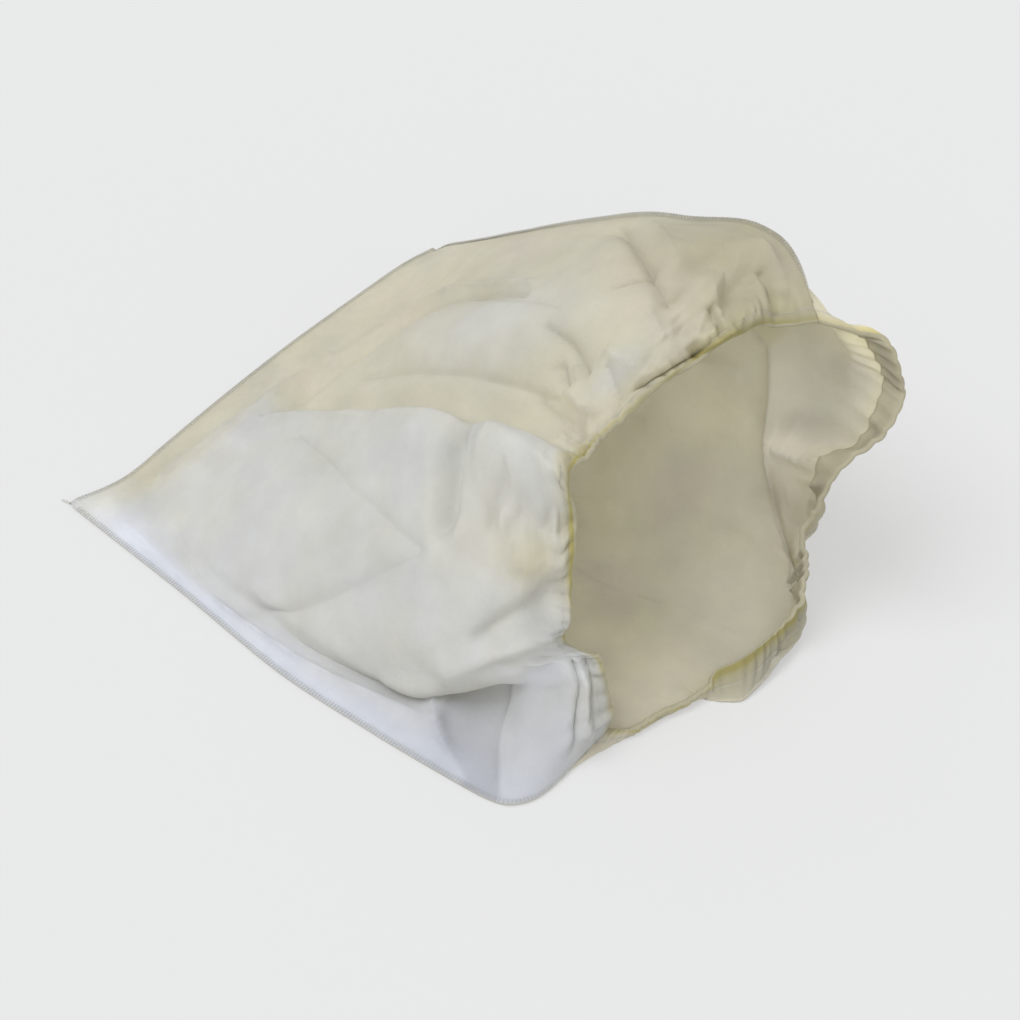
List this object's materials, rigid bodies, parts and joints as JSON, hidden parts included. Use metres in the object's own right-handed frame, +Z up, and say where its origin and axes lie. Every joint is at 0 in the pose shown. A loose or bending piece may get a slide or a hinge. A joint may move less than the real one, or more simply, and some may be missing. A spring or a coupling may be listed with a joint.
{
  "type": "elasticated dust collector bag",
  "caption": "Sewn fabric dust bag lying on its side, overlocked along the bottom and sides, with a gathered elastic mouth held open.",
  "frame": {"origin": "on the floor, in the flat patch of the lower panel that the bag rests on, 300 mm from the bottom seam and 150 mm from the front side seam", "axes": "+X from the bottom seam to the mouth, +Y along the bottom seam from the front side seam to the back one, +Z up"},
  "size_m": [0.7306, 0.5947, 0.3379],
  "materials": {
    "upper_panel": "matt off-white needle-punched nonwoven, slightly warm on top and cooler at the front",
    "lower_panel": "the same nonwoven, seen from inside in warm shade",
    "elastic": "flat braided elastic, yellowed cream",
    "thread": "matt spun polyester sewing thread"
  },
  "bodies": {
    "root": {"upper_panel": "upper_panel", "lower_panel": "lower_panel", "elastic_band": "elastic", "elastic_join_stitches": "thread", "hem_stitching": "thread", "bottom_seam_overlock": "thread", "front_seam_overlock": "thread", "back_seam_overlock": "thread", "overlock_thread_tail": "thread"}
  },
  "joints": []
}
